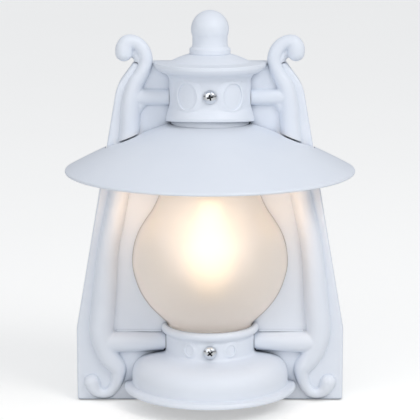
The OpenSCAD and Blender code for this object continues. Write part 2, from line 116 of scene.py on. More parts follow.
def tidyMesh(piece, sharp=38):
    work = bmesh.new()
    work.from_mesh(piece.data)
    bmesh.ops.remove_doubles(work, verts=work.verts, dist=0.000004)
    inner = [f for f in work.faces if all(abs(v.co.x) < 1e-6 for v in f.verts)]  # both halves meet here
    bmesh.ops.delete(work, geom=inner, context="FACES_ONLY")
    bmesh.ops.delete(work, geom=[e for e in work.edges if not e.link_faces], context="EDGES")
    bmesh.ops.recalc_face_normals(work, faces=work.faces)
    work.to_mesh(piece.data)
    work.free()
    piece.data.shade_smooth()
    piece.data.set_sharp_from_angle(angle=math.radians(sharp))
    return piece


def carve(piece, cutters, operation="DIFFERENCE", solver="EXACT"):
    for cutter in cutters:
        step = piece.modifiers.new("carve", "BOOLEAN")
        step.object = cutter
        step.operation = operation
        step.solver = solver
        bakeModifiers(piece)
        bpy.data.objects.remove(cutter)
    return piece


def settle(piece, body, slot, *nodes):
    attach(piece, body)
    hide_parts(*nodes)
    print("made", piece.name, len(piece.data.polygons), "faces")


def arcPoints(centre, radius, start, end, steps):
    turns = [math.radians(start + (end - start) * i / steps) for i in range(steps + 1)]
    return [(centre[0] + radius * math.cos(a), centre[1] + radius * math.sin(a)) for a in turns]


def softCorners(points, steps=5, closed=True):
    # a point with a third number has its corner rounded to that radius
    made = []
    count = len(points)
    for i, point in enumerate(points):
        here = Vector(point[:2])
        radius = point[2] if len(point) > 2 else 0
        if not radius or (not closed and i in (0, count - 1)):
            made.append(tuple(here))
            continue
        before = Vector(points[i - 1][:2]) - here
        after = Vector(points[(i + 1) % count][:2]) - here
        half = before.angle(after) / 2
        if half > math.radians(89):
            made.append(tuple(here))
            continue
        reach = min(radius / math.tan(half), before.length * 0.48, after.length * 0.48)
        first = here + before.normalized() * reach
        last = here + after.normalized() * reach
        for k in range(steps + 1):
            t = k / steps
            made.append(tuple(first * (1 - t) ** 2 + here * 2 * t * (1 - t) + last * t ** 2))
    return made


def throughPoints(points, steps):
    # a smooth curve through the points, of any number of coordinates
    ends = [tuple(2 * a - b for a, b in zip(points[0], points[1]))]
    ends += list(points) + [tuple(2 * a - b for a, b in zip(points[-1], points[-2]))]
    made = []
    for p0, p1, p2, p3 in zip(ends, ends[1:], ends[2:], ends[3:]):
        for k in range(steps):
            t = k / steps
            made.append(tuple(0.5 * (2 * b + (c - a) * t + (2 * a - 5 * b + 4 * c - d) * t * t
                                     + (3 * b - a - 3 * c + d) * t ** 3) for a, b, c, d in zip(p0, p1, p2, p3)))
    made.append(tuple(points[-1]))
    return made


def turnedPiece(name, outline, y, finish=None, steps=96, closed=False, x=0):
    # turns an outline of (radius, height) about an upright axis
    rings, vertices, faces = [], [], []
    for radius, height in outline:
        if radius < 0.001:
            rings.append([len(vertices)] * steps)
            vertices.append((x * mm, y * mm, height * mm))
            continue
        rings.append(list(range(len(vertices), len(vertices) + steps)))
        for k in range(steps):
            a = 2 * math.pi * k / steps
            vertices.append(((x + radius * math.sin(a)) * mm, (y - radius * math.cos(a)) * mm, height * mm))
    pairs = list(zip(rings, rings[1:])) + ([(rings[-1], rings[0])] if closed else [])
    for low, high in pairs:
        for k in range(steps):
            n = (k + 1) % steps
            corners = [low[k], low[n], high[n], high[k]]
            kept = [c for i, c in enumerate(corners) if c != corners[i - 1]]
            if len(kept) > 2:
                faces.append(kept)
    return newObject(name, vertices, [], faces, finish)


def prism(name, outline, y0, y1):
    # a flat outline of (x, z) with depth from y0 to y1
    count = len(outline)
    vertices = [(x * mm, y * mm, z * mm) for y in (y0, y1) for x, z in outline]
    faces = [list(range(count)), list(range(2 * count - 1, count - 1, -1))]
    faces += [[i, i + count, (i + 1) % count + count, (i + 1) % count] for i in range(count)]
    return tidyMesh(newObject(name, vertices, [], faces))


def rod(name, start, end, startRadius, endRadius, steps=32):
    # a plain tapered cutter between two points
    a, b = Vector(start) * mm, Vector(end) * mm
    turn = (b - a).to_track_quat("Z", "Y").to_matrix()
    vertices = []
    for point, radius in ((a, startRadius), (b, endRadius)):
        for k in range(steps):
            t = 2 * math.pi * k / steps
            vertices.append(point + turn @ Vector((math.cos(t) * radius * mm, math.sin(t) * radius * mm, 0)))
    faces = [list(range(steps))[::-1], list(range(steps, 2 * steps))]
    faces += [[k, (k + 1) % steps, (k + 1) % steps + steps, k + steps] for k in range(steps)]
    return newObject(name, vertices, [], faces)


# ---- materials

def startMaterial(name, settings):
    material = bpy.data.materials.new(name)
    material.use_nodes = True
    tree = material.node_tree
    tree.nodes.clear()
    shader = addNode(tree, "ShaderNodeBsdfPrincipled", settings)
    addNode(tree, "ShaderNodeOutputMaterial", {"Surface": shader.outputs[0]})
    place = addNode(tree, "ShaderNodeTexCoord").outputs["Object"]
    return material, tree, shader, place


def addRelief(tree, shader, height, strength, depth):
    relief = addNode(tree, "ShaderNodeBump", {"Strength": strength, "Distance": depth * mm, "Height": height})
    tree.links.new(relief.outputs[0], shader.inputs["Normal"])


def addMottle(tree, shader, place, size, light, dark):
    # slow changes of tone, size in mm
    cloud = addNode(tree, "ShaderNodeTexNoise", {"Vector": place, "Scale": 1 / (size * mm), "Detail": 3.0})
    tone = addNode(tree, "ShaderNodeMix", {0: cloud.outputs[0], 6: toLinear(dark), 7: toLinear(light)}, data_type="RGBA")
    tree.links.new(tone.outputs[2], shader.inputs["Base Color"])
    return tone


def addRoughness(tree, shader, place, size, low, high):
    cloud = addNode(tree, "ShaderNodeTexNoise", {"Vector": place, "Scale": 1 / (size * mm), "Detail": 4.0})
    span = addNode(tree, "ShaderNodeMapRange", {"Value": cloud.outputs[0], "From Min": 0.3, "From Max": 0.7, "To Min": low, "To Max": high})
    tree.links.new(span.outputs[0], shader.inputs["Roughness"])


# White polyester powder coat, sprayed and stoved: it flows out with a fine orange peel of 1.5 to
# 3 mm waves, so highlights are soft and a little uneven, and it lies thicker in the corners.
# Corners go blue-grey and deep crevices near black from ambient occlusion: painted shade.
def whitePowderCoat(name, peel=0.25):
    material, tree, shader, place = startMaterial(name, {"Roughness": 0.46, "Specular IOR Level": 0.5})
    tone = addMottle(tree, shader, place, 38, "E8EDF5", "E0E6F0")
    # painted shade: the colour darkens with ambient occlusion in corners, creases and gaps between parts
    corner = addNode(tree, "ShaderNodeAmbientOcclusion", {"Distance": 8 * mm}, samples=8)
    cornerShade = addNode(tree, "ShaderNodeMapRange", {
        "Value": corner.outputs["AO"], "From Min": 0.1, "From Max": 0.75, "To Min": 1.0, "To Max": 0.0}, interpolation_type="SMOOTHSTEP")
    shaded = addNode(tree, "ShaderNodeMix", {0: cornerShade.outputs[0], 6: tone.outputs[2], 7: toLinear("B4BDCB")}, data_type="RGBA")
    crevice = addNode(tree, "ShaderNodeMapRange", {
        "Value": corner.outputs["AO"], "From Min": 0.04, "From Max": 0.36, "To Min": 1.0, "To Max": 0.0}, interpolation_type="SMOOTHSTEP")
    paintedCreviceShade = addNode(tree, "ShaderNodeMix", {0: crevice.outputs[0], 6: shaded.outputs[2], 7: toLinear("474E59")}, data_type="RGBA")
    tree.links.new(paintedCreviceShade.outputs[2], shader.inputs["Base Color"])
    addRoughness(tree, shader, place, 9, 0.42, 0.54)
    waves = addNode(tree, "ShaderNodeTexNoise", {"Vector": place, "Scale": 1 / (2.4 * mm), "Detail": 2.0, "Roughness": 0.4})
    addRelief(tree, shader, waves.outputs[0], peel, 0.05)
    return material


# Borosilicate glass, blown and acid-etched outside: a fine matt skin that spreads the lamp's light
# and hides the lamp's outline. Its bright core and wide warm halo are painted glow, an emission that fades away from
# the filament.
def etchedGlass(name, halo, filamentZ):
    material, tree, shader, place = startMaterial(name, {
        "Roughness": 0.46, "IOR": 1.47, "Transmission Weight": 0.9})
    slope = addNode(tree, "ShaderNodeLayerWeight", {"Blend": 0.5})
    edge = addNode(tree, "ShaderNodeMapRange", {"Value": slope.outputs["Facing"], "From Min": 0.8, "From Max": 0.97}, interpolation_type="SMOOTHSTEP")
    body = addNode(tree, "ShaderNodeMix", {0: edge.outputs[0], 6: toLinear("F3EEE7"), 7: toLinear("7A6652")}, data_type="RGBA")
    tree.links.new(body.outputs[2], shader.inputs["Base Color"])  # painted shade: the base colour darkens to brown along the outline, where the wall of the glass is seen deepest
    flat = addNode(tree, "ShaderNodeVectorMath", {0: place, 1: (1, 0, 1)}, operation="MULTIPLY")
    away = addNode(tree, "ShaderNodeVectorMath", {0: flat.outputs[0], 1: (-0.001, 0, filamentZ * mm)}, operation="DISTANCE")
    near = addNode(tree, "ShaderNodeMapRange", {
        "Value": away.outputs["Value"], "From Min": 12 * mm, "From Max": 46 * mm, "To Min": 0.1 + halo, "To Max": 0.1}, interpolation_type="SMOOTHSTEP")
    clear = addNode(tree, "ShaderNodeMath", {0: 1.0, 1: edge.outputs[0]}, operation="SUBTRACT")
    paintedGlowStrength = addNode(tree, "ShaderNodeMath", {0: near.outputs[0], 1: clear.outputs[0]}, operation="MULTIPLY")
    tree.links.new(paintedGlowStrength.outputs[0], shader.inputs["Emission Strength"])  # painted glow: emission in place of lamp light scattered in the etched skin, weaker along the outline
    warm = addNode(tree, "ShaderNodeMapRange", {"Value": away.outputs["Value"], "From Min": 20 * mm, "From Max": 52 * mm})
    paintedGlowColour = addNode(tree, "ShaderNodeMix", {0: warm.outputs[0], 6: toLinear("FFE8D2"), 7: toLinear("EFE3DD")}, data_type="RGBA")
    tree.links.new(paintedGlowColour.outputs[2], shader.inputs["Emission Color"])
    grain = addNode(tree, "ShaderNodeTexNoise", {"Vector": place, "Scale": 1 / (0.7 * mm), "Detail": 3.0})  # grit, drawn coarse enough to show
    addRelief(tree, shader, grain.outputs[0], 0.12, 0.02)
    return material


# Chromium on steel, polished in bulk: a hard bright mirror with faint tumbling scuffs.
def chromedSteel(name):
    material, tree, shader, place = startMaterial(name, {"Metallic": 1.0, "Roughness": 0.14})
    corner = addNode(tree, "ShaderNodeAmbientOcclusion", {"Distance": 2.6 * mm}, samples=8)
    awayFromRecessShade = addNode(tree, "ShaderNodeMapRange", {"Value": corner.outputs["AO"], "From Min": 0.42, "From Max": 0.8}, interpolation_type="SMOOTHSTEP")
    tone = addNode(tree, "ShaderNodeMix", {0: awayFromRecessShade.outputs[0], 6: toLinear("14171B"), 7: toLinear("DDE0E4")}, data_type="RGBA")
    tree.links.new(tone.outputs[2], shader.inputs["Base Color"])  # painted shade: the recess and the ring round the seat go near black from ambient occlusion
    addRoughness(tree, shader, place, 1.2, 0.08, 0.2)
    return material


# Steel, zinc-plated and clear passivated: a bluish grey with a soft cloudy sheen.
def zincPlatedSteel(name):
    material, tree, shader, place = startMaterial(name, {"Metallic": 1.0, "Roughness": 0.38})
    addMottle(tree, shader, place, 6, "C6CBD0", "A9B0B8")
    addRoughness(tree, shader, place, 2.5, 0.30, 0.5)
    return material


# Brass, turned: a warm yellow with fine rings left by the tool.
def turnedBrass(name):
    material, tree, shader, place = startMaterial(name, {"Metallic": 1.0, "Roughness": 0.28})
    addMottle(tree, shader, place, 5, "D9BC73", "C2A25A")
    rings = addNode(tree, "ShaderNodeTexWave", {"Vector": place, "Scale": 1 / (4 * mm), "Distortion": 0.6}, wave_type="BANDS", bands_direction="Z")
    addRelief(tree, shader, rings.outputs[0], 0.2, 0.03)
    return material


# Thermoset or other moulded polymer: an even satin skin with a slight flow mark.
def mouldedPolymer(name, light, dark, roughness, grain):
    material, tree, shader, place = startMaterial(name, {"Roughness": roughness})
    addMottle(tree, shader, place, 14, light, dark)
    skin = addNode(tree, "ShaderNodeTexNoise", {"Vector": place, "Scale": 1 / (grain * mm), "Detail": 2.0})
    addRelief(tree, shader, skin.outputs[0], 0.15, 0.03)
    return material


# Steatite, pressed and fired: matt off-white with fine dark specks.
def firedSteatite(name):
    material, tree, shader, place = startMaterial(name, {"Roughness": 0.62})
    speck = addNode(tree, "ShaderNodeTexVoronoi", {"Vector": place, "Scale": 1 / (1.6 * mm)})
    near = addNode(tree, "ShaderNodeMapRange", {"Value": speck.outputs["Distance"], "From Min": 0.04, "From Max": 0.12, "To Min": 0.6, "To Max": 0.0})
    tone = addNode(tree, "ShaderNodeMix", {0: near.outputs[0], 6: toLinear("E4DFD2"), 7: toLinear("9C9484")}, data_type="RGBA")
    tree.links.new(tone.outputs[2], shader.inputs["Base Color"])
    return material


# Opal glass of a lit candle lamp: an even warm white that is brighter round the filament.
def litOpalGlass(name, strength, filamentZ):
    material, tree, shader, place = startMaterial(name, {"Base Color": toLinear("FBF3E4"), "Roughness": 0.3})
    away = addNode(tree, "ShaderNodeVectorMath", {0: place, 1: (0, lampY * mm, filamentZ * mm)}, operation="DISTANCE")
    near = addNode(tree, "ShaderNodeMapRange", {
        "Value": away.outputs["Value"], "From Min": 10 * mm, "From Max": 44 * mm, "To Min": strength, "To Max": 0.3 * strength},
        interpolation_type="SMOOTHSTEP")
    glow = addNode(tree, "ShaderNodeMix", {0: addNode(tree, "ShaderNodeMapRange", {
        "Value": away.outputs["Value"], "From Min": 14 * mm, "From Max": 34 * mm}).outputs[0],
        6: toLinear("FFF0D8"), 7: toLinear("FFD29A")}, data_type="RGBA")
    tree.links.new(near.outputs[0], shader.inputs["Emission Strength"])
    tree.links.new(glow.outputs[2], shader.inputs["Emission Color"])
    return material


# Aluminium, drawn and rolled into a lamp cap: bright grey with a satin drawing grain.
def drawnAluminium(name):
    material, tree, shader, place = startMaterial(name, {"Metallic": 1.0, "Roughness": 0.32})
    addMottle(tree, shader, place, 3, "D4D6D8", "B9BCC0")
    return material


# Soft rubber, moulded: dull, with a fine bloom that dries it to grey.
def mouldedRubber(name, light, dark):
    material, tree, shader, place = startMaterial(name, {"Roughness": 0.78})
    addMottle(tree, shader, place, 4, light, dark)
    bloom = addNode(tree, "ShaderNodeTexNoise", {"Vector": place, "Scale": 1 / (0.8 * mm), "Detail": 3.0})
    addRelief(tree, shader, bloom.outputs[0], 0.3, 0.04)
    return material


# PVC foam strip, closed cells about 1 mm across, cut open on its edges.
def closedCellFoam(name):
    material, tree, shader, place = startMaterial(name, {"Roughness": 0.9})
    cells = addNode(tree, "ShaderNodeTexVoronoi", {"Vector": place, "Scale": 1 / (1.1 * mm)})
    tone = addNode(tree, "ShaderNodeMix", {0: cells.outputs["Distance"], 6: toLinear("4A4B4D"), 7: toLinear("2C2D2F")}, data_type="RGBA")
    tree.links.new(tone.outputs[2], shader.inputs["Base Color"])
    addRelief(tree, shader, cells.outputs["Distance"], 0.6, 0.2)
    return material


powderCoat = whitePowderCoat("whitePowderCoat")
powderCoatCast = whitePowderCoat("whitePowderCoatOnCasting", 0.4)
frostedGlass = etchedGlass("acidEtchedGlass", 0.19, -3)
chrome = chromedSteel("chromedSteel")
zinc = zincPlatedSteel("zincPlatedSteel")
brass = turnedBrass("turnedBrass")
lampGlow = litOpalGlass("litOpalGlass", 0.45, -6)
capMetal = drawnAluminium("drawnAluminiumCap")
finishes = {
    "bulb_contact": mouldedPolymer("blackVitriteInsulator", "24252A", "15161A", 0.2, 1.0),
    "lampholder_body": mouldedPolymer("thermosetHolder", "EDEBE3", "E0DDD2", 0.42, 0.9),
    "lampholder_core": firedSteatite("firedSteatite"),
    "terminal_block": mouldedPolymer("polyamideBlock", "EFEFEA", "E2E2DB", 0.5, 0.7),
    "wire_live": mouldedPolymer("brownPvcLead", "7A4A2A", "6A3D20", 0.4, 0.6),
    "wire_neutral": mouldedPolymer("bluePvcLead", "3A6CB0", "2D5C9E", 0.4, 0.6),
    "wire_earth": mouldedPolymer("greenPvcLead", "5E9C3A", "4F8A2E", 0.4, 0.6),
    "wire_grommet": mouldedRubber("blackRubber", "303033", "1E1E20"),
    "globe_seal": mouldedRubber("greySiliconeSeal", "96989B", "828488"),
    "wall_gasket": closedCellFoam("closedCellFoam"),
}
for node in ("finial_nut", "pillar_upper", "pillar_lower", "lamp_bracket", "bracket_screws", "terminal_screws"):
    finishes[node] = zinc
for node in ("nipple", "nipple_nut", "lampholder_shell", "lampholder_contact", "lampholder_screws", "terminal_clamps", "earth_screw"):
    finishes[node] = brass
for node, material in finishes.items():
    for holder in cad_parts[node].material_slots:
        holder.material = material
print("materials made", len(bpy.data.materials))


# ---- wall plate: pressed sheet with rolled edges, open to the wall

plateSize = {
    "halfWidth": 101.3, "cornerZ": -84.5, "bottomZ": -140.7, "topZ": 117.5, "topHalfWidth": 56.6,
    "shoulderHalfWidth": 69.3, "shoulderZ": 100.3, "sheet": 2.0, "edgeRound": 2.0, "wallScrewZ": 110.0,
}


def plateOutline(inset, s=plateSize):
    half = [
        (s["halfWidth"] - inset, s["bottomZ"] + inset, 2.5),
        (s["halfWidth"] - inset, s["cornerZ"], 26),
        (s["shoulderHalfWidth"] - inset, s["shoulderZ"] - 0.25 * inset, 28),
        (s["topHalfWidth"] - 0.6 * inset, s["topZ"] - inset, 2.2),
    ]
    return softCorners(half + [(-x, z, r) for x, z, r in half[::-1]], 8)


def makeWallPlate(s=plateSize):
    roundIn, sheet = s["edgeRound"], s["sheet"]
    layers = []
    for k in range(7):
        a = math.pi / 2 * k / 6
        layers.append((roundIn * (1 - math.sin(a)), faceY + roundIn * (1 - math.cos(a))))
    layers += [(0.0, -0.4), (0.4, 0.0), (sheet, 0.0), (sheet, faceY + sheet + 1), (sheet + 0.3, faceY + sheet + 0.3), (sheet + 1, faceY + sheet)]
    vertices, faces = [], []
    for inset, y in layers:
        vertices += [(x * mm, y * mm, z * mm) for x, z in plateOutline(inset)]
    count = len(vertices) // len(layers)
    for row in range(len(layers) - 1):
        for k in range(count):
            n = (k + 1) % count
            faces.append([row * count + k, row * count + n, (row + 1) * count + n, (row + 1) * count + k])
    faces += [list(range(count)), list(range((len(layers) - 1) * count, len(layers) * count))[::-1]]
    piece = tidyMesh(newObject("wallPlate", vertices, [], faces, powderCoat))
    for z in (s["wallScrewZ"], -s["wallScrewZ"]):  # tubes for the wall screws
        carve(piece, [rod("tube", (0, faceY + 1, z), (0, 0, z), 6, 6, 48)], "UNION")
        carve(piece, [rod("hole", (0, faceY - 3, z), (0, 3, z), 2.75, 2.75, 48)])
    holes = [(0, 96.3, 3.05), (0, -93.9, 3.05), (14, 87, 2.05), (-14, 87, 2.05), (16, 106, 4.05), (-30, 20, 2.05)]
    for x, z, radius in holes:
        carve(piece, [rod("hole", (x, faceY - 3, z), (x, 3, z), radius, radius)])
    for side in (-1, 1):  # raised line over each lower stub
        line = softCorners([(side * 37, -86.6, 0.5), (side * 71, -86.6, 0.5), (side * 71, -85.2, 0.5), (side * 37, -85.2, 0.5)])
        carve(piece, [prism("line", line, faceY - 0.7, faceY + 0.6)], "UNION")
    tidyMesh(piece)
    settle(piece, "fixture", "plate_paint", "wall_plate")


makeWallPlate()


# ---- scroll castings: crook, arm and curl, melted into the plate by the thick coat

scrollSize = {
    "path": [  # x, z, radius of the right-hand one
        (63.6, 125.2, 6.6), (63.3, 129.0, 6.6), (61.0, 132.6, 6.1), (56.4, 133.3, 5.2), (51.5, 130.4, 5.1),
        (48.2, 125.2, 5.1), (47.3, 118.6, 5.1), (50.2, 110.2, 5.4), (55.6, 101.0, 6.3), (58.4, 88, 7.2),
        (60.3, 63, 7.5), (68.6, 17, 7.8), (76.8, -24, 8.1), (80.3, -62.5, 9.2), (82.4, -86, 9.2),
        (78.4, -103, 8.2), (70.9, -114.3, 7.0), (70.1, -121.0, 5.6), (72.2, -128.6, 4.6), (75.8, -133.6, 4.1),
        (80.4, -135.5, 3.9), (85.3, -134.2, 4.6), (88.4, -130.8, 5.5), (90.1, -126.3, 6.1)],
    "upperStub": [(27.0, 92.3, 6.0), (58.0, 92.3, 6.2)],
    "upperWeb": [(50.0, 90.0, 4.3), (57.0, 79.5, 4.3)],
    "lowerStub": [(30.0, -94.2, 7.0), (79.0, -94.8, 8.4)],
    "crookWeb": [(61.8, 125.8, 5.2), (55.5, 125.6, 5.0), (50.6, 120.8, 6.2)], "webDepth": 4.2,
    "stubEnds": [  # clear of the hood's collar and of the base's neck
        [(10, 80), (30.35, 80), (30.35, 106), (10, 106)],
        [(10, -108), (34.9, -108), (34.9, -98.6), (33.55, -98.4), (33.55, -82), (10, -82)]],
    "shadeSlot": [(44, 69.1), (62, 61.9), (80, 53.9), (80, 51.9), (62, 59.9), (44, 67.1)], "slotDepth": 1.8,
    "voxel": 0.55, "melt": 3, "footing": 0.9, "freeAbove": 118.1, "unevenness": 0.28, "wave": 15,
}


def sweepFlat(path, section, sink=0):
    # sweeps a section of (across, depth) along a path of (x, z, radius) in the plate's plane
    vertices, faces = [], []
    spots = [Vector(p[:2]) for p in path]
    for i, point in enumerate(path):
        along = (spots[min(i + 1, len(path) - 1)] - spots[max(i - 1, 0)]).normalized()
        across = Vector((-along.y, along.x))
        for u, depth in section(point[2]):
            vertices.append(((spots[i].x + across.x * u) * mm, (faceY + depth + sink) * mm, (spots[i].y + across.y * u) * mm))
    count = len(vertices) // len(path)
    for row in range(len(path) - 1):
        for k in range(count):
            n = (k + 1) % count
            faces.append([row * count + k, row * count + n, (row + 1) * count + n, (row + 1) * count + k])
    faces += [list(range(count))[::-1], list(range(len(vertices) - count, len(vertices)))]
    return vertices, faces


def roundSection(radius):
    return [(radius * math.cos(a), radius * math.sin(a)) for a in (2 * math.pi * k / 32 for k in range(32))]


def makeScroll(name, side, node, s=scrollSize):
    work = bmesh.new()
    main = throughPoints(s["path"], 6)
    bars = [main, s["upperStub"], s["upperWeb"], s["lowerStub"]]

    def footSection(radius):
        wide = radius + s["footing"]
        return [(-wide, 0.25), (wide, 0.25), (wide, 3.2), (-wide, 3.2)]

    sweeps = [(s["crookWeb"], roundSection, s["webDepth"])]
    for bar in bars:
        feet = [p for p in bar if p[1] < 112] if bar is main else bar
        sweeps += [(bar, roundSection, 0), (feet, footSection, 0)]
    for path, section, sink in sweeps:
        vertices, faces = sweepFlat(path, section, sink)
        made = [work.verts.new((side * v[0], v[1], v[2])) for v in vertices]
        for face in faces:
            work.faces.new([made[i] for i in face])
    for x, z, radius in (s["path"][0], s["path"][-1], s["upperWeb"][0], s["upperWeb"][1], s["lowerStub"][1], s["upperStub"][1]):
        bmesh.ops.create_icosphere(work, subdivisions=3, radius=radius * mm, matrix=Matrix.Translation((side * x * mm, faceY * mm, z * mm)))
    bmesh.ops.recalc_face_normals(work, faces=work.faces)
    piece = newObject(name, [], [], [], powderCoatCast)
    work.to_mesh(piece.data)
    work.free()
    merge = piece.modifiers.new("merge", "REMESH")
    merge.mode = "VOXEL"
    merge.voxel_size = s["voxel"] * mm
    melt = piece.modifiers.new("melt", "SMOOTH")
    melt.factor = 0.5
    melt.iterations = s["melt"]
    bakeModifiers(piece)
    outwards = [vertex.normal.copy() for vertex in piece.data.vertices]
    for vertex, way in zip(piece.data.vertices, outwards):  # the castings were modelled and dressed by hand
        swell = noise.noise(vertex.co / (s["wave"] * mm))
        vertex.co += way * (swell - 0.4) * s["unevenness"] * mm
    back = prism("back", [(side * 15, -160), (side * 120, -160), (side * 120, s["freeAbove"]), (side * 15, s["freeAbove"])], faceY, faceY + 40)
    front = prism("front", [(side * 15, -160), (side * 120, -160), (side * 120, 160), (side * 15, 160)], faceY + 9, faceY + 40)
    ends = [prism("end", [(side * x, z) for x, z in outline], faceY - 30, faceY + 5) for outline in s["stubEnds"]]
    slot = prism("slot", [(side * x, z) for x, z in s["shadeSlot"]], faceY - 20, faceY - s["slotDepth"])
    carve(piece, [back, front, slot] + ends, solver="MANIFOLD")
    tidyMesh(piece, 50)
    if not piece.data.materials:
        piece.data.materials.append(powderCoatCast)
    settle(piece, "fixture", "scroll_paint", node)


makeScroll("scrollLeft", -1, "scroll_left")
makeScroll("scrollRight", 1, "scroll_right")


# ---- half-round pressings: an outline swept round the front and straight back to the plate

def halfRoundTree():
    tree, given = startTree("halfRoundSweep", {
        "Profile": "geometry", "Axis Y": "number", "Back Y": "number", "Path Radius": "number", "Steps": "count", "Finish": "material"})
    maths = "ShaderNodeMath"
    count = addNode(tree, maths, {0: given["Steps"], 1: 3.0}, operation="ADD")
    line = addNode(tree, "GeometryNodeMeshLine", {"Count": count.outputs[0]})
    index = addNode(tree, "GeometryNodeInputIndex")
    inner = addNode(tree, maths, {0: index.outputs[0], 1: 1.0}, operation="SUBTRACT")
    share = addNode(tree, maths, {0: inner.outputs[0], 1: given["Steps"]}, operation="DIVIDE", use_clamp=True)
    angle = addNode(tree, maths, {0: share.outputs[0], 1: math.pi}, operation="MULTIPLY")
    cosine = addNode(tree, maths, {0: angle.outputs[0]}, operation="COSINE")
    sine = addNode(tree, maths, {0: angle.outputs[0]}, operation="SINE")
    x = addNode(tree, maths, {0: cosine.outputs[0], 1: given["Path Radius"]}, operation="MULTIPLY")
    forward = addNode(tree, maths, {0: sine.outputs[0], 1: given["Path Radius"]}, operation="MULTIPLY")
    y = addNode(tree, maths, {0: given["Axis Y"], 1: forward.outputs[0]}, operation="SUBTRACT")
    last = addNode(tree, maths, {0: given["Steps"], 1: 2.0}, operation="ADD")
    half = addNode(tree, maths, {0: last.outputs[0], 1: 0.5}, operation="MULTIPLY")
    offset = addNode(tree, maths, {0: index.outputs[0], 1: half.outputs[0]}, operation="SUBTRACT")
    away = addNode(tree, maths, {0: offset.outputs[0]}, operation="ABSOLUTE")
    limit = addNode(tree, maths, {0: half.outputs[0], 1: 0.5}, operation="SUBTRACT")
    isEnd = addNode(tree, maths, {0: away.outputs[0], 1: limit.outputs[0]}, operation="GREATER_THAN")
    depth = addNode(tree, "ShaderNodeMix", {"Factor": isEnd.outputs[0], "A": y.outputs[0], "B": given["Back Y"]}, data_type="FLOAT")
    spot = addNode(tree, "ShaderNodeCombineXYZ", {"X": x.outputs[0], "Y": depth.outputs[0]})
    placed = addNode(tree, "GeometryNodeSetPosition", {"Geometry": line.outputs[0], "Position": spot.outputs[0]})
    path = addNode(tree, "GeometryNodeMeshToCurve", {"Mesh": placed.outputs[0]})
    upright = addNode(tree, "GeometryNodeSetCurveNormal", {"Curve": path.outputs[0]}, mode="Z_UP")
    profile = addNode(tree, "GeometryNodeMeshToCurve", {"Mesh": given["Profile"]})
    swept = addNode(tree, "GeometryNodeCurveToMesh", {"Curve": upright.outputs[0], "Profile Curve": profile.outputs[0], "Fill Caps": True})
    endTree(tree, swept.outputs[0], given["Finish"])
    return tree


halfRound = halfRoundTree()


def halfRoundPiece(name, outline, backY, finish, pathRadius=30, steps=112):
    count = len(outline)
    vertices = [((pathRadius - r) * mm, -z * mm, 0) for r, z in outline]
    piece = newObject(name, vertices, [(i, (i + 1) % count) for i in range(count)], [])
    bakeTree(piece, halfRound, {"Axis Y": axisY * mm, "Back Y": backY * mm, "Path Radius": pathRadius * mm, "Steps": steps, "Finish": finish})
    return tidyMesh(piece)


# raised rings: a bead laid out flat, bent round the shell, and set once on each side of the front
def ringTree():
    tree, given = startTree("raisedRings", {
        "Profile": "geometry", "Axis Y": "number", "Shell Radius": "number", "Height": "number", "Ring Radius": "number",
        "Narrowing": "number", "Angle": "number", "Finish": "material"})
    maths = "ShaderNodeMath"
    circle = addNode(tree, "GeometryNodeCurvePrimitiveCircle", {"Resolution": 80, "Radius": given["Ring Radius"]})
    share = addNode(tree, "ShaderNodeCombineXYZ", {"X": given["Narrowing"], "Y": 1.0, "Z": 1.0})
    oval = addNode(tree, "GeometryNodeTransform", {"Geometry": circle.outputs[0], "Scale": share.outputs[0]})
    upright = addNode(tree, "GeometryNodeSetCurveNormal", {"Curve": oval.outputs[0]}, mode="Z_UP")
    bead = addNode(tree, "GeometryNodeMeshToCurve", {"Mesh": given["Profile"]})
    flat = addNode(tree, "GeometryNodeCurveToMesh", {"Curve": upright.outputs[0], "Profile Curve": bead.outputs[0]})
    where = addNode(tree, "ShaderNodeSeparateXYZ", {"Vector": addNode(tree, "GeometryNodeInputPosition").outputs[0]})
    turn = addNode(tree, maths, {0: where.outputs["X"], 1: given["Shell Radius"]}, operation="DIVIDE")
    reach = addNode(tree, maths, {0: where.outputs["Z"], 1: given["Shell Radius"]}, operation="ADD")
    sine = addNode(tree, maths, {0: turn.outputs[0]}, operation="SINE")
    cosine = addNode(tree, maths, {0: turn.outputs[0]}, operation="COSINE")
    x = addNode(tree, maths, {0: sine.outputs[0], 1: reach.outputs[0]}, operation="MULTIPLY")
    front = addNode(tree, maths, {0: cosine.outputs[0], 1: reach.outputs[0]}, operation="MULTIPLY")
    y = addNode(tree, maths, {0: 0.0, 1: front.outputs[0]}, operation="SUBTRACT")
    z = addNode(tree, maths, {0: where.outputs["Y"], 1: given["Height"]}, operation="ADD")
    bent = addNode(tree, "ShaderNodeCombineXYZ", {"X": x.outputs[0], "Y": y.outputs[0], "Z": z.outputs[0]})
    ring = addNode(tree, "GeometryNodeSetPosition", {"Geometry": flat.outputs[0], "Position": bent.outputs[0]})
    pair = addNode(tree, "GeometryNodeMeshLine", {"Count": 2, "Offset": (0, 0, 0)})
    index = addNode(tree, "GeometryNodeInputIndex")
    sign = addNode(tree, maths, {0: index.outputs[0], 1: 2.0, 2: -1.0}, operation="MULTIPLY_ADD")
    side = addNode(tree, maths, {0: sign.outputs[0], 1: given["Angle"]}, operation="MULTIPLY")
    spin = addNode(tree, "ShaderNodeCombineXYZ", {"Z": side.outputs[0]})
    centre = addNode(tree, "ShaderNodeCombineXYZ", {"Y": given["Axis Y"]})
    centred = addNode(tree, "GeometryNodeSetPosition", {"Geometry": pair.outputs[0], "Position": centre.outputs[0]})
    placedRings = addNode(tree, "GeometryNodeInstanceOnPoints", {
        "Points": centred.outputs[0], "Instance": ring.outputs[0], "Rotation": spin.outputs[0]})
    endTree(tree, placedRings.outputs[0], given["Finish"])
    return tree


ringOnShell = ringTree()


